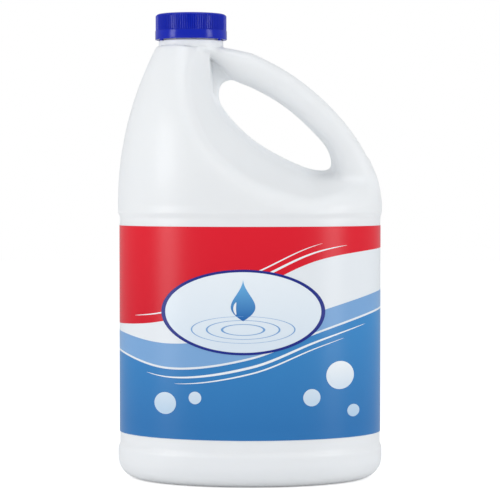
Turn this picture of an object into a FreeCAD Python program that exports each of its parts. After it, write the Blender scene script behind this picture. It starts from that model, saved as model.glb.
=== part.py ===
import FreeCAD, Part
import math
import os
import Sketcher
from FreeCAD import Vector

# Bleach jug: a blow-moulded bottle with a hollow side handle, a ribbed screw cap with a foam
# liner, a wrap-round printed film in the recessed panel, and the liquid.
# +X points to the handle, -Y is the label's front, +Z is up, the origin is the base's centre.

SIZES = {
    # the jug's oval body
    "body_width": 174.0,
    "body_depth": 130.0,
    "wall": 1.2,
    "foot_radius": 14.0,
    "push_up_height": 6.0,
    "push_up_margin": 24.0,
    "push_up_slope": 16.0,
    # the recessed panel between the two bumpers
    "panel_low": 23.0,
    "panel_high": 172.0,
    "panel_recess": 1.2,
    "panel_ramp": 2.5,
    # the shoulder, from the upper bumper to the ring under the cap
    "shoulder_low": 180.0,
    "shoulder_high": 284.0,
    "left_drop": 25.5,
    "left_bow": 2.08,
    "right_drop": 86.0,
    "right_bow": 2.0,
    "right_root_drop": 14.0,
    "right_root_bow": 12.5,
    "right_waist": 13.0,
    "crest_bow": 2.2,
    "depth_bow": 2.1,
    "neck_from_left": 48.2,
    # the hollow handle and the finger space behind it
    "handle_thickness": 18.0,
    "handle_depth": 27.0,
    "handle_fullness": 1.1,
    "handle_root_flare": 9.0,
    "handle_flare_bow": 1.2,
    "handle_root_sunk": 3.0,
    "handle_proud": 0.3,
    "handle_top_swell": 1.6,
    "web_half": 2.6,
    "pocket_steepening": 42.0,
    "neck_root_thickness": 5.0,
    "neck_root_drop": 2.5,
    "neck_root_arch": 2.0,
    "neck_root_past_axis": 4.0,
    # the neck finish
    "collar_radius": 21.2,
    "collar_height": 3.8,
    "collar_sunk": 4.0,
    "neck_floor": 1.6,
    "finish_radius": 19.6,
    "bore_radius": 17.6,
    "finish_height": 14.6,
    "thread_lead": 4.2,
    "thread_depth": 1.2,
    "thread_root_width": 2.0,
    "thread_crest_width": 1.0,
    "thread_turns": 1.5,
    "thread_low": 4.2,
    "thread_sunk": 0.3,
    "thread_clearance": 0.4,
    # the screw cap
    "cap_height": 16.8,
    "cap_skirt": 1.6,
    "cap_rib_height": 0.5,
    "cap_rib_count": 96.0,
    "cap_band_height": 6.0,
    "cap_band_proud": 0.3,
    "cap_top": 1.5,
    "cap_edge": 1.2,
    "cap_lug_width": 2.4,
    "cap_lug_height": 0.9,
    "cap_lug_turn": 58.0,
    "liner_thickness": 1.0,
    "liner_gap": 0.3,
    "liner_play": 0.1,
    # the printed film
    "film_low": 30.6,
    "film_high": 167.0,
    "film_thickness": 0.2,
    "film_gap": 0.05,
    "print_margin": 0.5,
    "print_gap": 0.08,
    "print_thickness": 0.15,
    # the liquid
    "liquid_level": 255.5,
    "liquid_gap": 0.3,
}

doc = FreeCAD.newDocument("bleach_jug")
sheet = doc.addObject("Spreadsheet::Sheet", "sizes")
for row, (alias, value) in enumerate(SIZES.items(), start=1):
    sheet.set("A%d" % row, alias)
    sheet.set("B%d" % row, str(value))
    sheet.setAlias("B%d" % row, alias)
doc.recompute()


def size(alias):
    """A driving dimension, read from the sheet."""
    return float(sheet.get(alias))


# The jug's form. Every section is level: two half ellipses that meet at the crest line.


# A share is 0 at the shoulder's foot and 1 under the collar.


def neck_x():
    """The neck's axis, measured from the jug's left side."""
    return size("neck_from_left") - size("body_width") / 2


def left_edge(share):
    return -size("body_width") / 2 + size("left_drop") * max(share, 0.0) ** size("left_bow")


def right_edge(share):
    rise = max(share, 0.0)
    drop = size("right_drop") * rise ** size("right_bow")
    root_drop = size("right_root_drop") * rise ** size("right_root_bow")
    waist = size("right_waist") * rise * (1 - rise) ** 2
    return size("body_width") / 2 - drop - root_drop - waist


def crest_x(share):
    left_to_run = 1 - min(max(share, 0.0), 1.0)
    return neck_x() * (1 - left_to_run ** size("crest_bow"))


def crest_half_depth(share):
    top = (right_edge(1.0) - left_edge(1.0)) / 2
    fall = size("body_depth") / 2 - top
    return size("body_depth") / 2 - fall * max(share, 0.0) ** size("depth_bow")


def front_depth(place):
    """How far the plain shoulder's surface lies from the parting plane at a place across it."""
    share = (place.z - size("shoulder_low")) / (size("shoulder_high") - size("shoulder_low"))
    crest = crest_x(share)
    edge = left_edge(share) if place.x < crest else right_edge(share)
    out = (place.x - crest) / (edge - crest)
    return crest_half_depth(share) * math.sqrt(max(1 - out * out, 0.09))


def shoulder_height(share):
    return size("shoulder_low") + share * (size("shoulder_high") - size("shoulder_low"))


def half_ellipse(centre_x, reach, half_depth, height):
    """Half an ellipse as a NURBS arc; reach is negative on the left side."""
    poles = [
        Vector(centre_x, half_depth, height),
        Vector(centre_x + reach, half_depth, height),
        Vector(centre_x + reach, 0, height),
        Vector(centre_x + reach, -half_depth, height),
        Vector(centre_x, -half_depth, height),
    ]
    corner = math.sqrt(0.5)
    curve = Part.BSplineCurve()
    weights = [1, corner, 1, corner, 1]
    curve.buildFromPolesMultsKnots(poles, [3, 2, 3], [0.0, 0.5, 1.0], False, 2, weights)
    return curve.toShape()


def level_section(centre_x, left, right, half_depth, height):
    left_arc = half_ellipse(centre_x, left - centre_x, half_depth, height)
    right_arc = half_ellipse(centre_x, right - centre_x, half_depth, height)
    return Part.Wire([left_arc, right_arc])


def body_section(height, inset):
    """A section of the lower body, drawn in by inset all round."""
    half_width = size("body_width") / 2 - inset
    return level_section(0.0, -half_width, half_width, size("body_depth") / 2 - inset, height)


def lower_body(inset):
    """Foot, panel and bumpers, up to the shoulder's foot."""
    low = inset
    recess = inset + size("panel_recess")
    panel_low = size("panel_low")
    panel_high = size("panel_high")
    ramp = size("panel_ramp")
    foot_section = body_section(low, inset)
    foot = Part.Face(foot_section).extrude(Vector(0, 0, panel_low - ramp - low))
    bottom_edges = [edge for edge in foot.Edges if edge.BoundBox.ZMax < low + 0.01]
    foot = foot.makeFillet(size("foot_radius") - inset, bottom_edges)
    upper = Part.makeLoft(
        [
            body_section(panel_low - ramp, inset),
            body_section(panel_low, recess),
            body_section(panel_high, recess),
            body_section(panel_high + ramp, inset),
            body_section(size("shoulder_low"), inset),
        ],
        True,
        True,
    )
    margin = size("push_up_margin")
    slope = size("push_up_slope")
    # the cutter starts 1 mm below the base, on the same slope
    push_up = Part.makeLoft(
        [
            body_section(low - 1.0, margin - slope / size("push_up_height")),
            body_section(size("push_up_height") + inset, margin + slope),
        ],
        True,
        True,
    )
    return foot.fuse(upper).cut(push_up)


def shoulder(inset):
    """The shoulder's full form, out to the handle's outer edge."""
    sections = []
    steps = 14
    for step in range(steps + 1):
        share = step / steps
        sections.append(
            level_section(
                crest_x(share),
                left_edge(share) + inset,
                right_edge(share) - inset,
                crest_half_depth(share) - inset,
                shoulder_height(share),
            )
        )
    return Part.makeLoft(sections, True, False)


# The finger pocket: a bowl sunk from the front and the back to a thin web round the hole.
# Each station gives the foot of the bowl's wall at the web and its rim at the jug's surface,
# measured from the right edge of the body and, as a share, up the shoulder.
POCKET_STATIONS = [
    ((-114.0, 1.08), (-125.5, 1.08)),
    ((-113.0, 0.91), (-125.5, 0.91)),
    ((-112.0, 0.75), (-126.2, 0.76)),
    ((-108.5, 0.62), (-123.5, 0.61)),
    ((-99.0, 0.495), (-116.5, 0.42)),
    ((-87.0, 0.39), (-104.0, 0.281)),
    ((-73.0, 0.305), (-88.0, 0.16)),
    ((-59.0, 0.24), (-70.0, 0.084)),
    ((-46.0, 0.195), (-54.0, 0.033)),
    ((-34.5, 0.195), (-39.0, 0.042)),
    ((-23.0, 0.215), (-25.0, 0.07)),
    ((-11.0, 0.235), (-13.0, 0.078)),
    ((9.0, 0.268), (9.0, 0.08)),
]

# The hole's edge, measured in the same way.
HOLE_POINTS = [
    (-92.5, 0.775),
    (-102.0, 0.783),
    (-107.0, 0.735),
    (-106.0, 0.635),
    (-94.0, 0.49),
    (-78.0, 0.367),
    (-56.0, 0.257),
    (-41.0, 0.216),
    (-33.5, 0.245),
    (-35.5, 0.36),
    (-48.5, 0.505),
    (-66.0, 0.645),
]


def shoulder_point(place):
    """A point of the parting plane from its offset off the right edge and its shoulder share."""
    return Vector(size("body_width") / 2 + place[0], 0, shoulder_height(place[1]))


# How far the bowl's wall has run out at a share of its depth: a cove at the foot, then steep.
BOWL_PROFILE = [(0.0, 0.0), (0.07, 0.14), (0.22, 0.32), (0.45, 0.54), (0.72, 0.77), (1.0, 1.0)]
# past the rim it runs on at this slope, up to this far
PAST_RIM_SLOPE = 0.8
PAST_RIM_LIMIT = 1.2


def run_out(depth_share):
    """How far out the bowl's wall is at a share of its depth: 0 at its foot and 1 at its rim."""
    if depth_share <= 0:
        return 0.0
    for low, high in zip(BOWL_PROFILE[:-1], BOWL_PROFILE[1:]):
        if depth_share <= high[0]:
            part = (depth_share - low[0]) / (high[0] - low[0])
            return low[1] + part * (high[1] - low[1])
    return 1 + min((depth_share - 1) * PAST_RIM_SLOPE, PAST_RIM_LIMIT)


# between these shares up the shoulder the wall steepens, to leave the way out of the neck free
STEEP_START = 0.62
STEEP_FULL = 0.9


def wall_reach(foot_share, rim):
    """How deep the wall goes on its way from foot to rim."""
    part = min(max((foot_share - STEEP_START) / (STEEP_FULL - STEEP_START), 0.0), 1.0)
    return front_depth(rim) + size("pocket_steepening") * part - size("web_half")


def bowl_outline(depth, grow):
    """The bowl's outline at a depth off the parting plane."""
    points = []
    for foot_place, rim_place in POCKET_STATIONS:
        foot = shoulder_point(foot_place)
        rim = shoulder_point(rim_place)
        away = (rim - foot).normalize()
        out = run_out((depth - size("web_half")) / wall_reach(foot_place[1], rim))
        points.append(foot + (rim - foot) * out + away * grow + Vector(0, depth, 0))
    wall = Part.BSplineCurve()
    wall.interpolate(points)
    start = points[0]
    finish = points[-1]
    far = size("body_width")
    far_low = Vector(far, depth, finish.z)
    far_high = Vector(far, depth, start.z)
    edges = [
        wall.toShape(),
        Part.makeLine(finish, far_low),
        Part.makeLine(far_low, far_high),
        Part.makeLine(far_high, start),
    ]
    return Part.Wire(edges)


# the depths of the outlines that the bowl is drawn through, as shares of the whole
OUTLINE_SHARES = [0.0, 0.06, 0.14, 0.24, 0.36, 0.52, 0.75, 1.0]


def finger_bowl(floor, grow):
    """One side's bowl, from its floor at the web out past the jug's surface, on the +Y side."""
    past_surface = 6.0
    top = size("body_depth") / 2 + past_surface
    web = size("web_half")
    outlines = [bowl_outline(floor, grow)]
    for share in OUTLINE_SHARES[1:]:
        outlines.append(bowl_outline(web + share * (top - web), grow))
    return Part.makeLoft(outlines, True, False)


def both_sides(shape):
    """A shape with its mirror image in the parting plane."""
    return shape.fuse(shape.mirror(Vector(0, 0, 0), Vector(0, 1, 0)))


def prism(wire, half_length):
    """A flat outline in the parting plane, run out to both sides."""
    moved = wire.copy()
    moved.translate(Vector(0, -half_length, 0))
    return Part.Face(moved).extrude(Vector(0, 2 * half_length, 0))


def hole_cutter():
    curve = Part.BSplineCurve()
    curve.interpolate([shoulder_point(place) for place in HOLE_POINTS], PeriodicFlag=True)
    return prism(Part.Wire(curve.toShape()), size("body_depth"))


HANDLE_SHARES = [0.0, 0.1, 0.2, 0.32, 0.46, 0.6, 0.73, 0.84, 0.92, 0.965]
# the shares where the lower root's flare and sinking have run out, and where the swell starts
FLARE_END = 0.42
SUNK_END = 0.2
SWELL_START = 0.4


def handle_stations():
    """Centre, direction, half thickness and half depth along the handle, from low to high."""
    half_thick = size("handle_thickness") / 2
    half_deep = size("handle_depth") / 2
    step = 0.004
    stations = []
    for share in HANDLE_SHARES:
        rise = shoulder_height(share + step) - shoulder_height(share - step)
        slope = (right_edge(share + step) - right_edge(share - step)) / rise
        along = Vector(slope, 0, 1).normalize()
        inward = Vector(-along.z, 0, along.x)
        root = size("handle_root_flare") * max(0.0, 1 - share / FLARE_END) ** size("handle_flare_bow")
        sunk = size("handle_root_sunk") * max(0.0, 1 - share / SUNK_END)
        proud = size("handle_proud") * min(1.0, share / SUNK_END)
        thick = half_thick + root + size("handle_top_swell") * max(0.0, share - SWELL_START)
        edge = Vector(right_edge(share), 0, shoulder_height(share))
        centre = edge + inward * (thick + sunk - proud)
        stations.append((centre, along, thick, half_deep + root / 2))
    last = stations[-1]
    root_thick = size("neck_root_thickness") / 2
    neck_end_x = neck_x() + size("neck_root_past_axis")
    neck_end = Vector(neck_end_x, 0, size("shoulder_high") - size("neck_root_drop"))
    # the middle of the bend into the neck lies a little over the straight line
    middle = last[0] * 0.45 + neck_end * 0.55 + Vector(0, 0, size("neck_root_arch"))
    into_neck = (neck_end - last[0]).normalize()
    stations.append((middle, into_neck, last[2] * 0.35 + root_thick * 0.65, half_deep))
    stations.append((neck_end, into_neck, root_thick, half_deep))
    return stations


def oval_wire(centre, along, thick, deep):
    """A full oval across the handle, as one closed NURBS curve: its corners' weight is 0.707 for
    a plain ellipse, and more for a squarer one."""
    across = Vector(along.z, 0, -along.x)
    poles = []
    weights = []
    for turn in range(8):
        angle = turn * math.pi / 4
        stretch = 1.0 if turn % 2 == 0 else math.sqrt(2)
        offset = across * (thick * math.cos(angle) * stretch)
        offset += Vector(0, deep * math.sin(angle) * stretch, 0)
        poles.append(centre + offset)
        weights.append(1.0 if turn % 2 == 0 else size("handle_fullness"))
    poles.append(poles[0])
    weights.append(1.0)
    curve = Part.BSplineCurve()
    knots = [0.0, 0.25, 0.5, 0.75, 1.0]
    curve.buildFromPolesMultsKnots(poles, [3, 2, 2, 2, 3], knots, False, 2, weights)
    return Part.Wire(curve.toShape())


def handle_tube(inset):
    wires = [
        oval_wire(centre, along, thick - inset, deep - inset)
        for centre, along, thick, deep in handle_stations()
    ]
    return Part.makeLoft(wires, True, False)


# the share above which the handle stands free of the shoulder
HANDLE_FREE = 0.27


def beyond_handle_cutter():
    """All that lies outside the handle's centre line, above its lower root."""
    centres = [station[0] for station in handle_stations()[:-2]]
    inner = [centre for centre in centres if centre.z > shoulder_height(HANDLE_FREE)]
    curve = Part.BSplineCurve()
    curve.interpolate(inner)
    far = size("body_width")
    over = size("shoulder_high") + 10
    far_low = Vector(far, 0, inner[0].z)
    far_high = Vector(far, 0, over)
    near_high = Vector(inner[-1].x, 0, over)
    edges = [
        curve.toShape(),
        Part.makeLine(inner[-1], near_high),
        Part.makeLine(near_high, far_high),
        Part.makeLine(far_high, far_low),
        Part.makeLine(far_low, inner[0]),
    ]
    return prism(Part.Wire(edges), size("body_depth"))


def mouth_height():
    return size("shoulder_high") + size("collar_height") + size("finish_height")


def neck_cylinder(radius, low, high):
    return Part.makeCylinder(radius, high - low, Vector(neck_x(), 0, low))


def thread_ridge(base_radius, crest_radius):
    """A right-hand helical ridge about the Z axis, between two radii, from level 0 up."""
    height = size("thread_lead") * size("thread_turns")
    outward = 1 if crest_radius > base_radius else -1
    sunk = base_radius - outward * size("thread_sunk")
    root = size("thread_root_width") / 2
    crest = size("thread_crest_width") / 2
    helix = Part.makeHelix(size("thread_lead"), height, base_radius)
    corners = [
        Vector(sunk, 0, -root),
        Vector(crest_radius, 0, -crest),
        Vector(crest_radius, 0, crest),
        Vector(sunk, 0, root),
        Vector(sunk, 0, -root),
    ]
    return Part.Wire(helix.Edges).makePipeShell([Part.makePolygon(corners)], True, True)


def above(height):
    """Everything above a level, as a cutter."""
    reach = size("body_width")
    return Part.makeBox(4 * reach, 4 * reach, reach, Vector(-2 * reach, -2 * reach, height))


def outer_form():
    """The jug's outside, with its neck, collar and thread."""
    bowls = both_sides(finger_bowl(size("web_half"), 0.0))
    upper = shoulder(0.0).cut(bowls)
    upper = upper.cut(hole_cutter()).cut(beyond_handle_cutter())
    top = size("shoulder_high")
    collar_top = top + size("collar_height")
    collar = neck_cylinder(size("collar_radius"), top - size("collar_sunk"), collar_top)
    finish = neck_cylinder(size("finish_radius"), top, mouth_height())
    crest = size("finish_radius") + size("thread_depth")
    ridge = thread_ridge(size("finish_radius"), crest)
    ridge.translate(Vector(neck_x(), 0, collar_top + size("thread_low")))
    body = lower_body(0.0).fuse(upper).fuse(handle_tube(0.0))
    return body.fuse(collar).fuse(finish).fuse(ridge)


# The bowl's wall leans, so it moves out by a little more than the wall's thickness, and the
# hollow's own bowls run through the parting plane.
WALL_LEAN = 1.1
THROUGH = -1.0


def inner_form(inset):
    """The space inside the body, the shoulder and the handle, drawn in by inset."""
    bowls = both_sides(finger_bowl(THROUGH, inset * WALL_LEAN))
    upper = shoulder(inset).cut(bowls)
    space = lower_body(inset).fuse(upper).fuse(handle_tube(inset))
    return space.cut(above(size("shoulder_high") - inset))


def neck_bore():
    """The way out through the neck; its foot stays clear of the ledge over the finger bowl."""
    ledge = size("shoulder_high") + size("neck_floor")
    bowls = both_sides(finger_bowl(THROUGH, size("wall") * WALL_LEAN))
    foot = neck_cylinder(size("bore_radius"), size("shoulder_high") - 3 * size("wall"), ledge)
    return foot.cut(bowls).fuse(neck_cylinder(size("bore_radius"), ledge, mouth_height() + 1))


def code_piece(name, shape):
    """A sub-part whose shape comes from the functions above."""
    piece = doc.addObject("Part::Feature", name)
    piece.Label = name
    piece.Shape = shape
    piece.Placement = FreeCAD.Placement()
    return piece


space = inner_form(size("wall")).fuse(neck_bore())
bottle = code_piece("bottle", outer_form().cut(space))

liquid_shape = inner_form(size("wall") + size("liquid_gap")).cut(above(size("liquid_level")))
liquid = code_piece("liquid", liquid_shape)

# The screw cap: a turned shell from a sketch, with grip ribs, a thread and two small lugs.

CAP_BORE = "sizes.finish_radius + sizes.thread_depth + sizes.thread_clearance"
CAP_SKIRT = CAP_BORE + " + sizes.cap_skirt"
CAP_BAND = CAP_SKIRT + " + sizes.cap_rib_height + sizes.cap_band_proud"
MOUTH = "sizes.shoulder_high + sizes.collar_height + sizes.finish_height"
CAP_TOP = MOUTH + " + sizes.liner_thickness + sizes.liner_play + sizes.cap_top"
CAP_LOW = CAP_TOP + " - sizes.cap_height"
NECK_X = "sizes.neck_from_left - sizes.body_width / 2"


def cap_bore():
    return size("finish_radius") + size("thread_depth") + size("thread_clearance")


def cap_skirt():
    return cap_bore() + size("cap_skirt")


def place_on_neck(piece, height):
    """Binds a piece's foot to the neck's axis at a height given as an expression."""
    piece.setExpression("Placement.Base.x", NECK_X)
    piece.setExpression("Placement.Base.z", height)


def origin_plane(body, role):
    for feature in body.Origin.OriginFeatures:
        if feature.Role == role:
            return feature


def profile_sketch(body, name, corners):
    """A closed outline on the body's XZ plane; each corner is a pair of expressions."""
    sketch = body.newObject("Sketcher::SketchObject", name)
    sketch.AttachmentSupport = [(origin_plane(body, "XZ_Plane"), "")]
    sketch.MapMode = "FlatFace"
    count = len(corners)
    guess = [Vector(20 - index, index, 0) for index in range(count)]
    for index in range(count):
        sketch.addGeometry(Part.LineSegment(guess[index], guess[(index + 1) % count]), False)
    for index in range(count):
        sketch.addConstraint(Sketcher.Constraint("Coincident", index, 2, (index + 1) % count, 1))
    for index, (across, up) in enumerate(corners):
        for kind, expression, axis in (("DistanceX", across, -2), ("DistanceY", up, -1)):
            if expression == "0":
                sketch.addConstraint(Sketcher.Constraint("PointOnObject", index, 1, axis))
                continue
            number = sketch.addConstraint(Sketcher.Constraint(kind, -1, 1, index, 1, 5.0))
            label = "%s_%d" % (kind, index)
            sketch.renameConstraint(number, label)
            sketch.setExpression("Constraints." + label, expression)
    return sketch


cap_shell = doc.addObject("PartDesign::Body", "cap_shell")
cap_profile = profile_sketch(
    cap_shell,
    "cap_profile",
    [
        (CAP_BORE, "0"),
        (CAP_BAND, "0"),
        (CAP_BAND, "sizes.cap_band_height"),
        (CAP_SKIRT, "sizes.cap_band_height"),
        (CAP_SKIRT, "sizes.cap_height - sizes.cap_edge"),
        (CAP_SKIRT + " - sizes.cap_edge", "sizes.cap_height"),
        ("0", "sizes.cap_height"),
        ("0", "sizes.cap_height - sizes.cap_top"),
        (CAP_BORE, "sizes.cap_height - sizes.cap_top"),
    ],
)
doc.recompute()
cap_turned = cap_shell.newObject("PartDesign::Revolution", "cap_turned")
cap_turned.Profile = cap_profile
cap_turned.ReferenceAxis = (cap_profile, ["V_Axis"])
cap_turned.Angle = 360.0
cap_shell.Tip = cap_turned
place_on_neck(cap_shell, CAP_LOW)


def cap_grip_ring():
    """The ring of fine upright ribs above the smooth band."""
    count = int(size("cap_rib_count"))
    valley = cap_skirt()
    tip = valley + size("cap_rib_height")
    pitch = 2 * math.pi / count
    corners = []
    for rib in range(count):
        for share, radius in ((0.0, valley), (0.3, valley), (0.55, tip), (0.75, tip)):
            angle = (rib + share) * pitch
            corners.append(Vector(radius * math.cos(angle), radius * math.sin(angle), 0))
    corners.append(corners[0])
    low = size("cap_band_height")
    length = size("cap_height") - size("cap_edge") - low
    outline = Part.Face(Part.makePolygon(corners))
    core = Part.makeCylinder(valley - size("cap_skirt") / 2, length)
    return outline.extrude(Vector(0, 0, length)).cut(core)


cap_grip = code_piece("cap_grip", cap_grip_ring())
place_on_neck(cap_grip, CAP_LOW + " + sizes.cap_band_height")

# The cap's ridge runs half a lead below the bottle's, so that the two are in mesh when closed.
CAP_THREAD_LOW = "sizes.shoulder_high + sizes.collar_height + sizes.thread_low - sizes.thread_lead / 2"
cap_thread_crest = size("finish_radius") + size("thread_clearance")
cap_thread = code_piece("cap_thread", thread_ridge(cap_bore(), cap_thread_crest))
place_on_neck(cap_thread, CAP_THREAD_LOW)

cap_lugs = []
for side in (-1, 1):
    lug = doc.addObject("Part::Box", "cap_lug_%s" % ("left" if side < 0 else "right"))
    lug.setExpression("Length", "sizes.cap_skirt - 0.2")
    lug.setExpression("Width", "sizes.cap_lug_width")
    lug.setExpression("Height", "sizes.cap_lug_height + 0.3")
    turn = math.radians(-90 + side * size("cap_lug_turn"))
    near = cap_bore() + 0.3
    across = size("cap_lug_width") / 2
    foot = Vector(
        neck_x() + near * math.cos(turn) + across * math.sin(turn),
        near * math.sin(turn) - across * math.cos(turn),
        0,
    )
    rotation = FreeCAD.Rotation(Vector(0, 0, 1), math.degrees(turn))
    lug.Placement = FreeCAD.Placement(foot, rotation)
    lug.setExpression("Placement.Base.z", CAP_LOW + " - sizes.cap_lug_height")
    cap_lugs.append(lug)

cap = doc.addObject("Part::MultiFuse", "cap")
cap.Label = "cap"
cap.Shapes = [cap_shell, cap_grip, cap_thread] + cap_lugs

# The foam liner: a loose disc between the cap's top and the bottle's mouth.

cap_liner = doc.addObject("Part::Cylinder", "cap_liner")
cap_liner.Label = "cap_liner"
cap_liner.setExpression("Radius", CAP_BORE + " - sizes.liner_gap")
cap_liner.setExpression("Height", "sizes.liner_thickness")
place_on_neck(cap_liner, MOUTH)

# The printed film: a ring wrapped round the recessed panel, and the print's fields on it,
# each a thin skin. A field that lies over another is one layer further out.


def oval_ring(low, high, layer_inner, layer_outer):
    """A ring round the panel between two offsets from the panel's surface."""
    recess = size("panel_recess")
    outer = Part.Face(body_section(low, recess - layer_outer))
    inner = Part.Face(body_section(low, recess - layer_inner))
    return outer.cut(inner).extrude(Vector(0, 0, high - low))


film_out = size("film_gap") + size("film_thickness")
label = code_piece("label", oval_ring(size("film_low"), size("film_high"), size("film_gap"), film_out))


def print_layer(layer):
    """A whole ring of print, one of three layers."""
    gap = size("print_gap")
    inner = film_out + gap + layer * (size("print_thickness") + gap)
    low = size("film_low") + size("print_margin")
    high = size("film_high") - size("print_margin")
    return oval_ring(low, high, inner, inner + size("print_thickness"))


def film_height(share):
    """A height on the film from its share, 0 at the lower edge and 1 at the upper one."""
    return size("film_low") + share * (size("film_high") - size("film_low"))


def film_x(share):
    """A place across the film, from -1 at the left side to 1 at the right."""
    return share * size("body_width") / 2


def field_between(low_points, high_points):
    """A prism between two soft lines across the film, each given as shares across and up."""
    lines = []
    for points in (low_points, high_points):
        curve = Part.BSplineCurve()
        curve.interpolate([Vector(film_x(across), 0, film_height(up)) for across, up in points])
        lines.append(curve)
    low_line, high_line = lines
    right = Part.makeLine(low_line.EndPoint, high_line.EndPoint)
    left = Part.makeLine(high_line.StartPoint, low_line.StartPoint)
    edges = [low_line.toShape(), right, high_line.toShape(), left]
    return prism(Part.Wire(Part.__sortEdges__(edges)), size("body_depth"))


def round_field(across, up, radius, squash=1.0):
    """A prism of an oval, upright in the parting plane."""
    centre = Vector(film_x(across), 0, film_height(up))
    if squash == 1.0:
        edge = Part.makeCircle(radius, centre, Vector(0, 1, 0))
    else:
        side = centre + Vector(radius, 0, 0)
        top = centre + Vector(0, 0, radius * squash)
        edge = Part.Ellipse(side, top, centre).toShape()
    return prism(Part.Wire(edge), size("body_depth"))


def front_half(shape):
    reach = size("body_width")
    half = Part.makeBox(2 * reach, reach, 4 * reach, Vector(-reach, -reach, -reach))
    return shape.common(half)


BLUE_TOP = [(-1.1, 0.42), (-0.6, 0.33), (0.0, 0.38), (0.5, 0.5), (1.1, 0.62)]
RED_LOW = [(-1.1, 0.52), (-0.6, 0.56), (0.0, 0.7), (0.5, 0.84), (1.1, 0.9)]
SKY_LOW = [(-1.1, 0.43), (-0.6, 0.34), (0.0, 0.39), (0.5, 0.51), (1.1, 0.63)]
SKY_HIGH = [(-1.1, 0.51), (-0.6, 0.45), (0.0, 0.5), (0.5, 0.6), (1.1, 0.71)]
FLOOR_LINE = [(-1.1, -0.1), (1.1, -0.1)]
TOP_LINE = [(-1.1, 1.1), (1.1, 1.1)]

first_layer = print_layer(0)
code_piece("print_blue_field", first_layer.common(field_between(FLOOR_LINE, BLUE_TOP)))
code_piece("print_red_field", first_layer.common(field_between(RED_LOW, TOP_LINE)))
code_piece("print_sky_wave", first_layer.common(field_between(SKY_LOW, SKY_HIGH)))
second_layer = front_half(print_layer(1))
pale_oval = round_field(-0.05, 0.6, 52.0, 0.52)
code_piece("print_pale_oval", second_layer.common(pale_oval))
third_layer = front_half(print_layer(2))
oval_rim = pale_oval.cut(round_field(-0.05, 0.6, 49.5, 0.515))
code_piece("print_navy_rim", third_layer.common(oval_rim))
DROPS = [(-0.62, 0.17, 7.0), (-0.4, 0.2, 4.0), (0.66, 0.3, 9.0), (0.45, 0.2, 5.5), (0.76, 0.13, 4.0)]
drops = [third_layer.common(round_field(across, up, radius)) for across, up, radius in DROPS]
code_piece("print_white_drops", Part.makeCompound([solid for drop in drops for solid in drop.Solids]))

doc.recompute()

NODES = [
    "bottle",
    "liquid",
    "cap",
    "cap_liner",
    "label",
    "print_blue_field",
    "print_red_field",
    "print_sky_wave",
    "print_pale_oval",
    "print_navy_rim",
    "print_white_drops",
]

for item in doc.Objects:
    if "Invalid" in item.State or "Error" in item.State:
        raise RuntimeError("%s failed: %s" % (item.Label, item.State))
for name in NODES:
    shape = doc.getObject(name).Shape
    if shape.isNull() or not shape.isValid():
        raise RuntimeError("%s has no valid shape" % name)

os.makedirs("parts", exist_ok=True)
for name in NODES:
    shape = doc.getObject(name).Shape
    shape.exportStep("parts/%s.step" % name)
    print("%s: %d solids, %.1f ml" % (name, len(shape.Solids), shape.Volume / 1000))
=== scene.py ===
import math

import bpy
import numpy as np
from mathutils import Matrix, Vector


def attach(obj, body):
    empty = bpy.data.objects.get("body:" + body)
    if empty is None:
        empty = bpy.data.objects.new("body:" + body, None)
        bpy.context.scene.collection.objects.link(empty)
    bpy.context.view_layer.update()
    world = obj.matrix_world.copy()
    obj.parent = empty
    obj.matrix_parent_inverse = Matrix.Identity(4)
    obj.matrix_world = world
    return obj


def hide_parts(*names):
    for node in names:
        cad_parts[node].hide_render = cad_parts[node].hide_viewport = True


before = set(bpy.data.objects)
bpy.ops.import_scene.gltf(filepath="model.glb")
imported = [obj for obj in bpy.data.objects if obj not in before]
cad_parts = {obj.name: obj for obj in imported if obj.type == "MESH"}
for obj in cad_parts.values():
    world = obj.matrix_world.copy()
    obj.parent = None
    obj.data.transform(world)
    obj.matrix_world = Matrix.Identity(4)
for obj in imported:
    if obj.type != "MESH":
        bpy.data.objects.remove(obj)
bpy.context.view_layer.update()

# The jug: one hollow piece of white high-density polyethylene, blown in a two-part mould with its
# handle, finger bowl and threaded neck. Its form is given by how far each point lies from it, in
# millimetres, and the mesh is drawn where that distance is nought.
MM = 0.001
# the body: an oval foot, a panel sunk in for the label, and a base that is pushed up inside its ring
BODY_WIDTH = 174.0
BODY_DEPTH = 130.0
FOOT_RADIUS = 14.0
PANEL_LOW, PANEL_HIGH, PANEL_RAMP, PANEL_RECESS = 22.0, 173.5, 4.0, 1.2
PUSH_UP_HEIGHT, PUSH_UP_MARGIN, PUSH_UP_SHARE = 6.0, 20.0, 0.4
WALL = 1.2
# the shoulder: how far its left, right and depth draw in on the way up, and how strongly they bow
SHOULDER_LOW, SHOULDER_HIGH, SHARE_LIMIT, LEAST_DEPTH_SHARE = 180.0, 284.0, 1.08, 0.3
LEFT_DROP, RIGHT_DROP, RIGHT_ROOT_DROP, RIGHT_WAIST = 25.5, 86.0, 14.0, 13.0
LEFT_BOW, RIGHT_ROOT_BOW, CREST_BOW, DEPTH_BOW = 2.08, 12.5, 2.2, 2.1
NECK_X = -38.8
PAD_RADIUS, PAD_LOW = 21.0, 280.2
# the handle: its stations up the shoulder, its section, and how its two roots run out
HANDLE_SHARES = [0.0, 0.1, 0.2, 0.32, 0.46, 0.6, 0.73, 0.84, 0.92, 0.965]
HANDLE_THICKNESS, HANDLE_DEPTH, HANDLE_FLARE, FLARE_END, FLARE_BOW = 18.0, 27.0, 9.0, 0.42, 1.2
HANDLE_SUNK, SUNK_END, HANDLE_SWELL, SWELL_START, HANDLE_FREE = 3.0, 0.2, 1.6, 0.4, 0.27
HANDLE_FULLNESS = 2.55                      # 2 is a plain ellipse, more is squarer
ROOT_THICKNESS, ROOT_DROP, ROOT_PAST_AXIS = 5.0, 2.5, 4.0
ROOT_MIDDLE, ROOT_ARCH, ROOT_THINNING = 0.55, 2.0, 0.65
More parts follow.
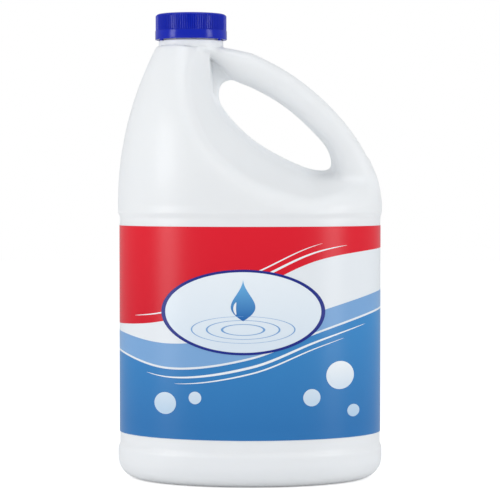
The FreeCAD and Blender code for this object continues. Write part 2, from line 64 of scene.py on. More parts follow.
# over how many millimetres two forms melt into each other: at shares up the shoulder, the bowl's
# rim and the handle's roots, which are soft low down and crisp under the neck
SOFT_SHARES = [0.0, 0.3, 0.55, 0.8, 0.95]
RIM_SOFTNESS = [10.0, 9.0, 8.0, 7.0, 5.0]
ROOT_SOFTNESS = [5.0, 5.0, 4.0, 2.2, 1.2]
HOLE_SOFTNESS, TOP_SOFTNESS, PAD_SOFTNESS, HOLLOW_SOFTNESS = 2.5, 1.5, 2.0, 2.0
# the finger bowl's foot and rim, and the edge of the hole in the web between the two bowls, as
# offsets off the body's right edge and shares up the shoulder
WEB_HALF = 2.6
BOWL_FOOT = [(-114, 1.08), (-113, 0.91), (-112, 0.75), (-108.5, 0.62), (-99, 0.495), (-87, 0.39),
             (-73, 0.305), (-59, 0.24), (-46, 0.195), (-34.5, 0.195), (-23, 0.215), (-11, 0.235),
             (9, 0.268)]
BOWL_RIM = [(-126.5, 1.08), (-126.5, 0.91), (-126.2, 0.76), (-123.5, 0.61), (-116.5, 0.42),
            (-104, 0.281), (-88, 0.16), (-70, 0.084), (-54, 0.033), (-39, 0.042), (-25, 0.07),
            (-13, 0.078), (9, 0.08)]
HOLE_EDGE = [(-92.5, 0.775), (-102, 0.783), (-107, 0.735), (-106, 0.635), (-94, 0.49), (-78, 0.367),
             (-56, 0.257), (-41, 0.216), (-33.5, 0.245), (-35.5, 0.36), (-48.5, 0.505), (-66, 0.645)]
# how deep the bowl's wall lies at a share of the way out: a cove at the foot, then steep; high up
# the wall ends in a crisp step to the web
WALL_OUT = [0.0, 0.14, 0.32, 0.54, 0.77, 1.0, 2.0, 4.0, 8.0]
WALL_DEPTH = [0.0, 0.07, 0.22, 0.45, 0.72, 1.0, 2.25, 4.75, 9.75]
STEP_DEPTH, STEP_WIDTH, STEP_SHARES = 11.0, 1.0, (0.7, 0.95)


def smooth_max(a, b, softness):
    overlap = np.maximum(softness - np.abs(a - b), 0) / softness
    return np.maximum(a, b) + overlap * overlap * softness * 0.25


def smooth_min(a, b, softness):
    return -smooth_max(-a, -b, softness)


def soft_step(value):
    value = np.clip(value, 0, 1)
    return value * value * (3 - 2 * value)


def shoulder_share(z):
    return np.clip((z - SHOULDER_LOW) / (SHOULDER_HIGH - SHOULDER_LOW), 0, SHARE_LIMIT)


def left_edge(share):
    return -BODY_WIDTH / 2 + LEFT_DROP * share**LEFT_BOW


def right_edge(share):
    waist = RIGHT_WAIST * share * (1 - share) ** 2
    return BODY_WIDTH / 2 - RIGHT_DROP * share**2 - RIGHT_ROOT_DROP * share**RIGHT_ROOT_BOW - waist


def crest_x(share):
    return NECK_X * (1 - (1 - np.clip(share, 0, 1)) ** CREST_BOW)


def crest_half_depth(share):
    top = (right_edge(1.0) - left_edge(1.0)) / 2
    return BODY_DEPTH / 2 - (BODY_DEPTH / 2 - top) * share**DEPTH_BOW


def front_depth(x, z):
    """How far the plain shoulder's surface lies from the parting plane."""
    share = shoulder_share(z)
    crest = crest_x(share)
    reach = np.where(x < crest, crest - left_edge(share), right_edge(share) - crest)
    round_in = np.maximum(1 - ((x - crest) / reach) ** 2, LEAST_DEPTH_SHARE**2)
    return crest_half_depth(share) * np.sqrt(round_in)


def shoulder_point(place):
    """A place by the body's right edge, in millimetres."""
    return (BODY_WIDTH / 2 + place[0], SHOULDER_LOW + place[1] * (SHOULDER_HIGH - SHOULDER_LOW))


def curve_through(points, per_span, closed=False):
    """Points along a smooth curve through the given ones."""
    points = np.array(points, float)
    if closed:
        points = np.vstack([points[-1], points, points[:2]])
    else:
        points = np.vstack([2 * points[0] - points[1], points, 2 * points[-1] - points[-2]])
    steps = np.linspace(0, 1, per_span, endpoint=False)[:, None]
    spans = []
    for a, b, c, d in zip(points[:-3], points[1:-2], points[2:-1], points[3:]):
        spans.append(0.5 * (2 * b + (c - a) * steps + (2 * a - 5 * b + 4 * c - d) * steps**2
                            + (3 * b - a - 3 * c + d) * steps**3))
    if not closed:
        spans.append(points[-2][None])
    return np.vstack(spans)


def nearest_on(curve, x, z):
    """For each point: distance to the curve, the nearest segment's place on it, and the side."""
    start, along = curve[:-1], np.diff(curve, axis=0)
    length2 = (along**2).sum(1)
    best = np.full(x.shape, 1e9)
    place = np.zeros(x.shape)
    side = np.ones(x.shape)
    for index in range(len(start)):
        dx, dz = x - start[index, 0], z - start[index, 1]
        share = np.clip((dx * along[index, 0] + dz * along[index, 1]) / length2[index], 0, 1)
        gap = np.hypot(dx - share * along[index, 0], dz - share * along[index, 1])
        closer = gap < best
        best[closer] = gap[closer]
        place[closer] = index + share[closer]
        cross = along[index, 0] * dz - along[index, 1] * dx
        side[closer] = np.sign(cross[closer])
    return best, place, side


def handle_line():
    """The handle's centre line with its half thickness and half depth, from low to high."""
    stations = []
    step = 0.004
    rise = 2 * step * (SHOULDER_HIGH - SHOULDER_LOW)
    for share in HANDLE_SHARES:
        slope = (right_edge(share + step) - right_edge(max(share - step, 0.0))) / rise
        size = math.hypot(slope, 1)
        root = HANDLE_FLARE * max(0.0, 1 - share / FLARE_END) ** FLARE_BOW
        thick = HANDLE_THICKNESS / 2 + root + HANDLE_SWELL * max(0.0, share - SWELL_START)
        inset = thick + HANDLE_SUNK * max(0.0, 1 - share / SUNK_END)
        height = SHOULDER_LOW + share * (SHOULDER_HIGH - SHOULDER_LOW)
        stations.append((right_edge(share) - inset / size, height + inset * slope / size, thick,
                         HANDLE_DEPTH / 2 + root / 2))
    last_x, last_z, last_thick, _ = stations[-1]
    end_x, end_z = NECK_X + ROOT_PAST_AXIS, SHOULDER_HIGH - ROOT_DROP
    stations.append((last_x * (1 - ROOT_MIDDLE) + end_x * ROOT_MIDDLE,
                     last_z * (1 - ROOT_MIDDLE) + end_z * ROOT_MIDDLE + ROOT_ARCH,
                     last_thick * (1 - ROOT_THINNING) + ROOT_THICKNESS / 2 * ROOT_THINNING,
                     HANDLE_DEPTH / 2))
    stations.append((end_x, end_z, ROOT_THICKNESS / 2, HANDLE_DEPTH / 2))
    return curve_through(stations, 12)


# what depends only on the place in the parting plane is worked out once, on a fine map
MAP_STEP, MAP_ACROSS, MAP_UP = 0.5, (-96.0, 110.0), (168.0, 300.0)
map_x = np.arange(*MAP_ACROSS, MAP_STEP)
map_z = np.arange(*MAP_UP, MAP_STEP)
place_x, place_z = np.meshgrid(map_x, map_z, indexing="ij")
foot_curve = curve_through([shoulder_point(p) for p in BOWL_FOOT], 8)
rim_curve = curve_through([shoulder_point(p) for p in BOWL_RIM], 8)
wall_run = np.hypot(*(rim_curve - foot_curve).T)
gap, place, side = nearest_on(foot_curve, place_x, place_z)
spans = np.arange(len(wall_run))
run_here = np.interp(place, spans, wall_run)
depth_here = np.interp(place, spans, front_depth(*rim_curve.T))
out_map = -side * gap
step_share = (shoulder_share(place_z) - STEP_SHARES[0]) / (STEP_SHARES[1] - STEP_SHARES[0])
step_here = STEP_DEPTH * soft_step(step_share)
wall_form = curve_through(list(zip(WALL_OUT, WALL_DEPTH)), 12)
wall_here = np.interp(out_map / run_here, *wall_form.T) * (depth_here - WEB_HALF - step_here)
bowl_map = WEB_HALF + step_here * np.clip(out_map / STEP_WIDTH + 0.5, 0, 1) + wall_here
slope_x, slope_z = np.gradient(bowl_map, MAP_STEP)
steep_map = np.sqrt(1 + slope_x**2 + slope_z**2)
hole_curve = curve_through([shoulder_point(p) for p in HOLE_EDGE], 10, closed=True)
hole_curve = np.vstack([hole_curve, hole_curve[:1]])
gap, place, side = nearest_on(hole_curve, place_x, place_z)
hole_map = gap * side
handle = handle_line()
gap, place, side = nearest_on(handle[:, :2], place_x, place_z)
stations = np.arange(len(handle))
thick_map = np.interp(place, stations, handle[:, 2])
deep_map = np.interp(place, stations, handle[:, 3])
beyond_map = np.minimum(-side * gap, place_z - shoulder_point((0, HANDLE_FREE))[1])
MAPS = np.stack([out_map, bowl_map, steep_map, hole_map, gap, thick_map, deep_map, beyond_map], -1)


def read_maps(x, z):
    """The maps' values at any places, between the nearest four cells."""
    u = np.clip((x - map_x[0]) / MAP_STEP, 0, len(map_x) - 1.001)
    v = np.clip((z - map_z[0]) / MAP_STEP, 0, len(map_z) - 1.001)
    i, j = u.astype(int), v.astype(int)
    u, v = (u - i)[..., None], (v - j)[..., None]
    low = MAPS[i, j] * (1 - u) + MAPS[i + 1, j] * u
    high = MAPS[i, j + 1] * (1 - u) + MAPS[i + 1, j + 1] * u
    out, bowl, steep, hole, gap, thick, deep, beyond = np.moveaxis(low * (1 - v) + high * v, -1, 0)
    return out, bowl, steep, hole, gap + np.maximum(map_z[0] - z, 0), thick, deep, beyond


def oval_distance(u, v, reach_u, reach_v, fullness=2.0):
    """Distance outside an oval, from shares of its two reaches."""
    u, v = np.abs(u), np.abs(v)
    radius = np.maximum((u**fullness + v**fullness) ** (1 / fullness), 0.05)
    slope = np.hypot(u ** (fullness - 1) / reach_u, v ** (fullness - 1) / reach_v)
    return (radius - 1) * radius ** (fullness - 1) / np.maximum(slope, 1e-4)


def level_distance(x, y, z):
    """Distance outside the oval section at each level."""
    share = shoulder_share(z)
    crest = crest_x(share)
    reach = np.where(x < crest, crest - left_edge(share), right_edge(share) - crest)
    deep = crest_half_depth(share)
    return oval_distance((x - crest) / reach, y / deep, reach, deep)


def body_distance(x, y, z):
    """The plain body: foot, panel between its bumpers, and shoulder, with no handle."""
    side = level_distance(x, y, z)
    rise = level_distance(x, y, z + 0.5) - level_distance(x, y, z - 0.5)
    side = side / np.sqrt(1 + rise**2)
    ramp_low = soft_step((z - PANEL_LOW + PANEL_RAMP / 2) / PANEL_RAMP)
    ramp_high = soft_step((PANEL_HIGH + PANEL_RAMP / 2 - z) / PANEL_RAMP)
    side = side + PANEL_RECESS * ramp_low * ramp_high
    corner = np.hypot(np.maximum(side + FOOT_RADIUS, 0), np.maximum(FOOT_RADIUS - z, 0))
    foot = corner - FOOT_RADIUS + np.minimum(np.maximum(side + FOOT_RADIUS, FOOT_RADIUS - z), 0)
    edge_in = np.hypot(x / (BODY_WIDTH / 2 - PUSH_UP_MARGIN), y / (BODY_DEPTH / 2 - PUSH_UP_MARGIN))
    push_up = PUSH_UP_HEIGHT * soft_step((1 - edge_in) / PUSH_UP_SHARE)
    return np.maximum(foot, push_up - z)


def softness(z, table):
    return np.interp(shoulder_share(z), SOFT_SHARES, table)


def jug_distance(x, y, z):
    """The jug's outside, up to the ring under the cap."""
    out, bowl, steep, hole, gap, thick, deep, beyond = read_maps(x, z)
    body = smooth_max(body_distance(x, y, z), (np.abs(y) - bowl) / steep, softness(z, RIM_SOFTNESS))
    body = np.maximum(smooth_max(body, hole, HOLE_SOFTNESS), beyond)
    grip = oval_distance(gap / thick, y / deep, thick, deep, HANDLE_FULLNESS)
    body = smooth_min(body, grip, softness(z, ROOT_SOFTNESS))
    body = np.maximum(body, np.abs(x) - BODY_WIDTH / 2)
    pad = smooth_max(np.hypot(x - NECK_X, y) - PAD_RADIUS, PAD_LOW - z, PAD_SOFTNESS)
    return smooth_max(smooth_min(body, pad, PAD_SOFTNESS), z - SHOULDER_HIGH, TOP_SOFTNESS)


def hollow_distance(x, y, z, wall=WALL):
    """The space inside the jug and its handle."""
    out, bowl, steep, hole, gap, thick, deep, beyond = read_maps(x, z)
    body = smooth_max(body_distance(x, y, z), (np.abs(y) - bowl) / steep, softness(z, RIM_SOFTNESS))
    body = np.maximum(body + wall, np.where(z > SHOULDER_LOW, wall - out, -BODY_DEPTH))
    grip = oval_distance(gap / thick, y / deep, thick, deep, HANDLE_FULLNESS) + wall
    return np.maximum(smooth_min(body, grip, HOLLOW_SOFTNESS), jug_distance(x, y, z) + wall)


def surface_of(distance, x_steps, y_steps, z_steps):
    """A closed mesh where a distance is nought: one corner in each cell that the surface crosses."""
    axes = (x_steps, y_steps, z_steps)
    values = distance(*np.meshgrid(*axes, indexing="ij"))
    inside = values < 0
    total = np.zeros([n - 1 for n in values.shape] + [3])
    count = np.zeros(total.shape[:3])
    crossings = []
    for axis in range(3):
        low, high = [slice(None)] * 3, [slice(None)] * 3
        low[axis], high[axis] = slice(0, -1), slice(1, None)
        low, high = tuple(low), tuple(high)
        found = np.argwhere(inside[low] != inside[high])
        a, b = values[low][tuple(found.T)], values[high][tuple(found.T)]
        spot = np.stack([axes[n][found[:, n]] for n in range(3)], -1)
        spot[:, axis] += a / (a - b) * (axes[axis][found[:, axis] + 1] - axes[axis][found[:, axis]])
        crossings.append((found, inside[low][tuple(found.T)]))
        others = [n for n in range(3) if n != axis]
        for first in (0, 1):
            for second in (0, 1):
                cell = found.copy()
                cell[:, others[0]] -= first
                cell[:, others[1]] -= second
                np.add.at(total, tuple(cell.T), spot)
                np.add.at(count, tuple(cell.T), 1)
    used = count > 0
    number = np.full(count.shape, -1)
    number[used] = np.arange(used.sum())
    points = total[used] / count[used][:, None]
    faces = []
    for axis, (found, starts_inside) in enumerate(crossings):
        corners = []
        for first, second in ((0, 0), (1, 0), (1, 1), (0, 1)):
            cell = found.copy()
            cell[:, (axis + 1) % 3] -= first
            cell[:, (axis + 2) % 3] -= second
            corners.append(number[tuple(cell.T)])
        quad = np.stack(corners, -1)
        quad[~starts_inside] = quad[~starts_inside][:, ::-1]
        faces.append(quad)
    # each corner is moved onto the surface, along the steepest way to it
    probe, least_slope, longest_move = 0.05, 0.5, 0.8
    for _ in range(3):
        here = distance(*points.T)
        slope = np.stack([(distance(*(points + way).T) - distance(*(points - way).T)) / (2 * probe)
                          for way in np.eye(3) * probe], -1)
        steepness = np.maximum((slope**2).sum(1), least_slope**2)
        points -= np.clip(here / steepness, -longest_move, longest_move)[:, None] * slope
    return points, np.vstack(faces)


def spaced(*spans):
    """Grid lines from (from, to, step) spans that follow each other."""
    lines = [np.linspace(a, b, max(2, int(round((b - a) / step)) + 1))[:-1] for a, b, step in spans]
    return np.append(np.concatenate(lines), spans[-1][1])


def mesh_piece(name, points, faces, crease=40.0):
    """An object from points in millimetres, smooth but for edges sharper than the crease angle."""
    mesh = bpy.data.meshes.new(name)
    mesh.from_pydata((np.asarray(points) * MM).tolist(), [], [list(map(int, f)) for f in faces])
    mesh.update()
    piece = bpy.data.objects.new(name, mesh)
    bpy.context.scene.collection.objects.link(piece)
    smooth_shading(piece, crease)
    return piece


def smooth_shading(piece, crease):
    piece.data.polygons.foreach_set("use_smooth", np.ones(len(piece.data.polygons), bool))
    piece.data.set_sharp_from_angle(angle=math.radians(crease))


def turned(profile, columns, ribs=None):
    """Points and faces of a solid turned about the neck's axis. The profile's corners are radius,
    height and how much of the ribs shows there, and it starts and ends on the axis."""
    angles = np.linspace(0, 2 * math.pi, columns, endpoint=False)
    points, rings = [], []
    for radius, height, *rib_share in profile:
        if radius == 0:
            rings.append([len(points)] * columns)
            points.append((NECK_X, 0.0, height))
            continue
        reach = radius + (rib_share[0] * ribs(angles) if rib_share else 0.0) + 0 * angles
        rings.append(list(range(len(points), len(points) + columns)))
        points += zip(NECK_X + reach * np.cos(angles), reach * np.sin(angles), [height] * columns)
    faces = []
    for low, high in zip(rings[:-1], rings[1:]):
        for column in range(columns):
            after = (column + 1) % columns
            corners = [low[column], low[after], high[after], high[column]]
            faces.append(list(dict.fromkeys(corners)))
    return np.array(points), faces


def thread_ridge(base, crest, sunk_in, low, lead, turns, root_width, crest_width):
    """Points and faces of a right-hand helical ridge about the neck's axis, run out at both ends."""
    steps = int(72 * turns)
    share = np.linspace(0, 1, steps + 1)
    angle = share * turns * 2 * math.pi
    height = low + share * turns * lead
    run_out_turns, end_height = 0.125, 0.25
    full = soft_step(np.minimum(share, 1 - share) * turns / run_out_turns)
    corners = []
    for at_crest, half in ((0, -root_width), (1, -crest_width), (1, crest_width), (0, root_width)):
        radius = sunk_in + at_crest * (crest - sunk_in) * (end_height + (1 - end_height) * full)
        across, deep = NECK_X + radius * np.cos(angle), radius * np.sin(angle)
        corners.append(np.stack([across, deep, height + half / 2], -1))
    points = np.stack(corners, 1).reshape(-1, 3)
    faces = [[0, 1, 2, 3], [4 * steps + n for n in (3, 2, 1, 0)]]
    for step in range(steps):
        for corner in range(4):
            after = (corner + 1) % 4
            here, ahead = 4 * step, 4 * step + 4
            faces.append([here + corner, ahead + corner, ahead + after, here + after])
    if crest < base:
        faces = [face[::-1] for face in faces]
    return points, faces


def join_and_cut(piece, crease, **steps):
    """Joins others to the piece, or cuts them from it, as one closed mesh, and uses them up."""
    for operation, others in steps.items():
        for other in others:
            step = piece.modifiers.new(other.name, "BOOLEAN")
            step.operation = operation
            step.solver = "MANIFOLD"
            step.object = other
    bpy.context.view_layer.update()
    graph = bpy.context.evaluated_depsgraph_get()
    mesh = bpy.data.meshes.new_from_object(piece.evaluated_get(graph))
    piece.modifiers.clear()
    piece.data = mesh
    smooth_shading(piece, crease)
    for others in steps.values():
        for other in others:
            bpy.data.objects.remove(other)


# the grid reaches past the jug, and its levels lie close together where the form bends
GRID_X, GRID_Y, GRID_LOW, GRID_HIGH, HOLLOW_HIGH = 90.1, 67.7, -1.7, 287.3, 289.0
FOOT_END, STRAIGHT_LOW, STRAIGHT_HIGH = 17.0, 27.0, 168.0
FINE_STEP, WIDE_STEP = 1.7, 2.6
x_lines, y_lines = spaced((-GRID_X, GRID_X, FINE_STEP)), spaced((-GRID_Y, GRID_Y, FINE_STEP))
z_lines = spaced((GRID_LOW, FOOT_END, FINE_STEP), (FOOT_END, STRAIGHT_LOW, 0.8),
                 (STRAIGHT_LOW, STRAIGHT_HIGH, 4.7), (STRAIGHT_HIGH, SHOULDER_LOW, 0.8),
                 (SHOULDER_LOW, GRID_HIGH, 1.6))
points, faces = surface_of(jug_distance, x_lines, y_lines, z_lines)
half = np.array([BODY_WIDTH / 2, BODY_DEPTH / 2, SHOULDER_HIGH])
jug = mesh_piece("jug", np.clip(points, -half * [1, 1, 0], half), faces)

# the ring under the cap, and the neck with its thread
COLLAR_RADIUS, COLLAR_LOW, COLLAR_TOP, COLLAR_EDGE = 21.2, 282.8, 287.8, 0.6
FINISH_RADIUS, BORE_RADIUS, MOUTH, MOUTH_EDGE, NECK_COLUMNS = 19.6, 17.6, 302.4, 0.5, 144
THREAD_DEPTH, THREAD_LEAD, THREAD_TURNS, THREAD_LOW = 1.2, 4.2, 1.5, 292.0
THREAD_ROOT_WIDTH, THREAD_CREST_WIDTH, THREAD_SUNK = 2.0, 1.0, 0.3
neck_profile = [
    (0, COLLAR_LOW), (COLLAR_RADIUS - COLLAR_EDGE, COLLAR_LOW),
    (COLLAR_RADIUS, COLLAR_LOW + COLLAR_EDGE), (COLLAR_RADIUS, COLLAR_TOP - COLLAR_EDGE),
    (COLLAR_RADIUS - COLLAR_EDGE, COLLAR_TOP), (FINISH_RADIUS, COLLAR_TOP),
    (FINISH_RADIUS, MOUTH - MOUTH_EDGE), (FINISH_RADIUS - MOUTH_EDGE, MOUTH), (0, MOUTH),
]
neck = mesh_piece("neck", *turned(neck_profile, NECK_COLUMNS))
neck_thread = mesh_piece("neck_thread", *thread_ridge(
    FINISH_RADIUS, FINISH_RADIUS + THREAD_DEPTH, FINISH_RADIUS - THREAD_SUNK, THREAD_LOW,
    THREAD_LEAD, THREAD_TURNS, THREAD_ROOT_WIDTH, THREAD_CREST_WIDTH))

# the hollow, with the foot of the neck's bore, which keeps clear of the ledge over the finger bowl
BORE_FOOT, BORE_LOW, HOLLOW_TOP = 279.0, COLLAR_TOP - 2, COLLAR_TOP - 1
BORE_BEVEL, BEVEL_LOW, BEVEL_HIGH, PAST_MOUTH = 0.6, MOUTH - 0.4, MOUTH + 0.2, MOUTH + 1


def hollow_with_bore(x, y, z):
    bore = np.maximum(np.hypot(x - NECK_X, y) - BORE_RADIUS, BORE_FOOT - z)
    bore = np.maximum(bore, WALL - read_maps(x, z)[0])
    return np.maximum(np.minimum(hollow_distance(x, y, z), bore), z - HOLLOW_TOP)


def wide_levels(high):
    """The wider grid's levels up to a height, for what the wall hides."""
    return spaced((GRID_LOW, STRAIGHT_LOW, 2.2), (STRAIGHT_LOW, STRAIGHT_HIGH, 9.4),
                  (STRAIGHT_HIGH, SHOULDER_LOW, 2.0), (SHOULDER_LOW, high, 2.4))


x_wide, y_wide = spaced((-GRID_X, GRID_X, WIDE_STEP)), spaced((-GRID_Y, GRID_Y, WIDE_STEP))
hollow = mesh_piece("hollow", *surface_of(hollow_with_bore, x_wide, y_wide, wide_levels(HOLLOW_HIGH)))
bore = mesh_piece("bore", *turned([
    (0, BORE_LOW), (BORE_RADIUS, BORE_LOW), (BORE_RADIUS, BEVEL_LOW),
    (BORE_RADIUS + BORE_BEVEL, BEVEL_HIGH), (BORE_RADIUS + BORE_BEVEL, PAST_MOUTH),
    (0, PAST_MOUTH)], NECK_COLUMNS))
join_and_cut(jug, crease=42.0, UNION=[neck, neck_thread], DIFFERENCE=[hollow, bore])


def srgb(code):
    """A hex colour as linear red, green, blue and alpha."""
    parts = [int(code[n:n + 2], 16) / 255 for n in (1, 3, 5)]
    return [p / 12.92 if p <= 0.04045 else ((p + 0.055) / 1.055) ** 2.4 for p in parts] + [1.0]


def add_node(tree, kind, settings=None, links=None):
    """A node with its settings, and its links from (node, output) to its own inputs."""
    node = tree.nodes.new(kind)
    for key, value in (settings or {}).items():
        if isinstance(key, int) or key in node.inputs:
            node.inputs[key].default_value = value
        else:
            setattr(node, key, value)
    for key, (source, output) in (links or {}).items():
        tree.links.new(source.outputs[output], node.inputs[key])
    return node


def material(name, **settings):
    """A new material with its shader's settings; gives the material, its tree and the shader."""
    made = bpy.data.materials.new(name)
    made.use_nodes = True
    shader = made.node_tree.nodes["Principled BSDF"]
    for key, value in settings.items():
        shader.inputs[key.replace("_", " ")].default_value = value
    return made, made.node_tree, shader


# Moulded polyethylene: white pigment all through, a satin skin from a sand-blasted mould, and a
# faint raised line where the mould's halves met. It gives a milky white with broad, soft shine.
JUG_WHITE = srgb("#f1f3f5")
GRIT_SIZE, GRIT_HEIGHT = 1.1, 0.012        # real grit is about 0.3 mm: coarser here, so it shows
SAG_SIZE, SAG_HEIGHT = 38.0, 0.14          # the wall cools unevenly, in waves as wide as a thumb
SEAM_HALF_WIDTH, SEAM_HEIGHT = 0.45, 0.12
SATIN_LOW, SATIN_HIGH = 0.34, 0.44
polyethylene, tree, shader = material(
    "moulded_polyethylene", Base_Color=JUG_WHITE, Roughness=0.38, IOR=1.53, Subsurface_Weight=0.3,
    Subsurface_Radius=(0.9, 0.95, 1.0), Subsurface_Scale=2.5 * MM)
spot = add_node(tree, "ShaderNodeTexCoord")
apart = add_node(tree, "ShaderNodeSeparateXYZ", None, {"Vector": (spot, "Object")})
off_seam = add_node(tree, "ShaderNodeMath", {"operation": "ABSOLUTE"}, {0: (apart, "Y")})
seam = add_node(tree, "ShaderNodeMapRange", {
    "interpolation_type": "SMOOTHSTEP", "From Min": 0.0, "From Max": SEAM_HALF_WIDTH * MM,
    "To Min": 1.0, "To Max": 0.0}, {"Value": (off_seam, "Value")})
sag = add_node(tree, "ShaderNodeTexNoise", {"Scale": 1 / (SAG_SIZE * MM), "Detail": 1.0},
               {"Vector": (spot, "Object")})
grit = add_node(tree, "ShaderNodeTexNoise", {"Scale": 1 / (GRIT_SIZE * MM), "Detail": 3.0},
                {"Vector": (spot, "Object")})
waves = add_node(tree, "ShaderNodeBump", {"Distance": SAG_HEIGHT * MM}, {"Height": (sag, "Fac")})
pits = add_node(tree, "ShaderNodeBump", {"Distance": GRIT_HEIGHT * MM},
                {"Height": (grit, "Fac"), "Normal": (waves, "Normal")})
line = add_node(tree, "ShaderNodeBump", {"Distance": SEAM_HEIGHT * MM},
                {"Height": (seam, "Result"), "Normal": (pits, "Normal")})
tree.links.new(line.outputs["Normal"], shader.inputs["Normal"])
satin = add_node(tree, "ShaderNodeMapRange", {"To Min": SATIN_LOW, "To Max": SATIN_HIGH},
                 {"Value": (sag, "Fac")})
tree.links.new(satin.outputs["Result"], shader.inputs["Roughness"])
jug.data.materials.clear()
jug.data.materials.append(polyethylene)
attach(jug, "jug")
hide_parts("bottle")

# The liquid: a pale yellow-green bleach that fills the jug and most of its hollow handle, with a
# headspace under the neck. It is seen only down the neck, when the cap is off.
LIQUID_LEVEL, LIQUID_WALL, LEVEL_MARGIN = 255.5, 1.9, 1.2


def liquid_distance(x, y, z):
    return np.maximum(hollow_distance(x, y, z, LIQUID_WALL), z - LIQUID_LEVEL)


def grain(tree, shader, size_mm, height_mm):
    """Bumps of a real size over a surface."""
    spot = add_node(tree, "ShaderNodeTexCoord")
    noise = add_node(tree, "ShaderNodeTexNoise", {"Scale": 1 / (size_mm * MM), "Detail": 3.0},
                     {"Vector": (spot, "Object")})
    bump = add_node(tree, "ShaderNodeBump", {"Strength": 1.0, "Distance": height_mm * MM},
                    {"Height": (noise, "Fac")})
    tree.links.new(bump.outputs["Normal"], shader.inputs["Normal"])


liquid = mesh_piece("liquid_fill", *surface_of(
    liquid_distance, x_wide, y_wide, wide_levels(LIQUID_LEVEL + LEVEL_MARGIN)), 30.0)
# a still liquid's surface: wet gloss, a pale tint with depth, and hardly a wave
SWELL_SIZE, SWELL_HEIGHT = 30.0, 0.05
bleach, tree, shader = material(
    "still_bleach", Base_Color=srgb("#edf0d4"), Roughness=0.03, IOR=1.34, Transmission_Weight=0.35)
grain(tree, shader, SWELL_SIZE, SWELL_HEIGHT)
liquid.data.materials.append(bleach)
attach(liquid, "jug")
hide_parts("liquid")

# The label: a clear-coated white polypropylene film, wound once round the recessed panel and
# glued to it. Its print is laid on as thin skins of ink, each cut to its own outline.
FILM_LOW, FILM_HIGH = 30.6, 167.0
FILM_INNER, FILM_OUTER = 0.05, 0.24
INK_INNER, INK_THICKNESS, INK_LAYER = 0.26, 0.05, 0.07
PANEL_REACH, PANEL_DEPTH = BODY_WIDTH / 2 - PANEL_RECESS, BODY_DEPTH / 2 - PANEL_RECESS
PRINT_MARGIN = 0.5


def on_panel(turn, height, off):
    """A point at a turn round the panel's oval, and that far off its surface."""
    across, deep = np.cos(turn) / PANEL_REACH, np.sin(turn) / PANEL_DEPTH
    long = np.hypot(across, deep)
    return np.stack([PANEL_REACH * np.cos(turn) + off * across / long,
                     PANEL_DEPTH * np.sin(turn) + off * deep / long, height], -1)


def skin(name, low_line, high_line, inner, outer, closed, rows):
    """A thin closed skin on the panel between two lines of (turn, height) points."""
    share = np.linspace(0, 1, rows + 1)[:, None, None]
    grid = low_line * (1 - share) + high_line * share
    grid[..., 1] = np.clip(grid[..., 1], FILM_LOW, FILM_HIGH)
    columns = grid.shape[1]
    outside = on_panel(grid[..., 0], grid[..., 1], outer).reshape(-1, 3)
    points = np.vstack([outside, on_panel(grid[..., 0], grid[..., 1], inner).reshape(-1, 3)])
    count = len(outside)
    faces = []
    for column in range(columns if closed else columns - 1):
        after = (column + 1) % columns
        for row in range(rows):
            a, b = row * columns + column, row * columns + after
            c, d = b + columns, a + columns
            faces += [[a, b, c, d], [a + count, d + count, c + count, b + count]]
        faces.append([column, column + count, after + count, after])
        top = rows * columns
        faces.append([top + column, top + after, top + after + count, top + column + count])
    if not closed:
        for row in range(rows):
            a, d = row * columns, (row + 1) * columns
            faces.append([a, d, d + count, a + count])
            a, d = a + columns - 1, d + columns - 1
            faces.append([a, a + count, d + count, d])
    first = points[faces[0]]
    outward = np.cross(first[1] - first[0], first[3] - first[0]) @ (first[0] * [1, 1, 0])
    if outward < 0:
        faces = [face[::-1] for face in faces]
    piece = mesh_piece(name, points, faces)
    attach(piece, "jug")
    return piece


def round_panel(heights, columns=360):
    """A line right round the panel; heights gives the height at a place across it in millimetres."""
    turn = np.linspace(-math.pi, math.pi, columns, endpoint=False)
    return np.stack([turn, heights(PANEL_REACH * np.cos(turn))], -1)


def in_front(x, z):
    """Points of the parting plane, laid on the panel's front."""
    x, z = np.asarray(x), np.asarray(z)
    return np.stack([-np.arccos(np.clip(x / PANEL_REACH, -1, 1)), z + 0 * x], -1)


def film_height(share):
    return FILM_LOW + share * (FILM_HIGH - FILM_LOW)


def soft_line(places, lift=0.0):
    """The height of a soft line through (share across, share up) places."""
    curve = curve_through([(across * BODY_WIDTH / 2, film_height(up)) for across, up in places], 30)
    return lambda x: np.interp(x, curve[:, 0], curve[:, 1]) + lift


def level_line(height):
    return lambda x: 0 * x + height


# Coated polypropylene film and the ink under its coat: an even, soft gloss, with the faint waves
# of a film that was wound on by a machine.
FILM_WAVE_SIZE, FILM_WAVE_HEIGHT = 22.0, 0.05


def film_finish(name, colour, second=None, low=0.0, high=1.0):
    """Coated print in one ink, or shading up the panel from one tone of it to a second."""
    made, tree, shader = material(
        name, Base_Color=colour, Roughness=0.3, IOR=1.5, Specular_IOR_Level=0.25)
    grain(tree, shader, FILM_WAVE_SIZE, FILM_WAVE_HEIGHT)
    if second:
        spot = add_node(tree, "ShaderNodeTexCoord")
        apart = add_node(tree, "ShaderNodeSeparateXYZ", None, {"Vector": (spot, "Object")})
        rise = add_node(tree, "ShaderNodeMapRange", {"From Min": low * MM, "From Max": high * MM},
                        {"Value": (apart, "Z")})
        ramp = add_node(tree, "ShaderNodeValToRGB", None, {"Fac": (rise, "Result")})
        ramp.color_ramp.elements[0].color = colour
        ramp.color_ramp.elements[1].color = second
        tree.links.new(ramp.outputs["Color"], shader.inputs["Base Color"])
    return made


def give_ink(piece, ink, slot, *nodes):
    """Gives a skin of print its ink, and hides the imported parts that it stands for."""
    piece.data.materials.append(ink)
    if nodes:
        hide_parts(*nodes)


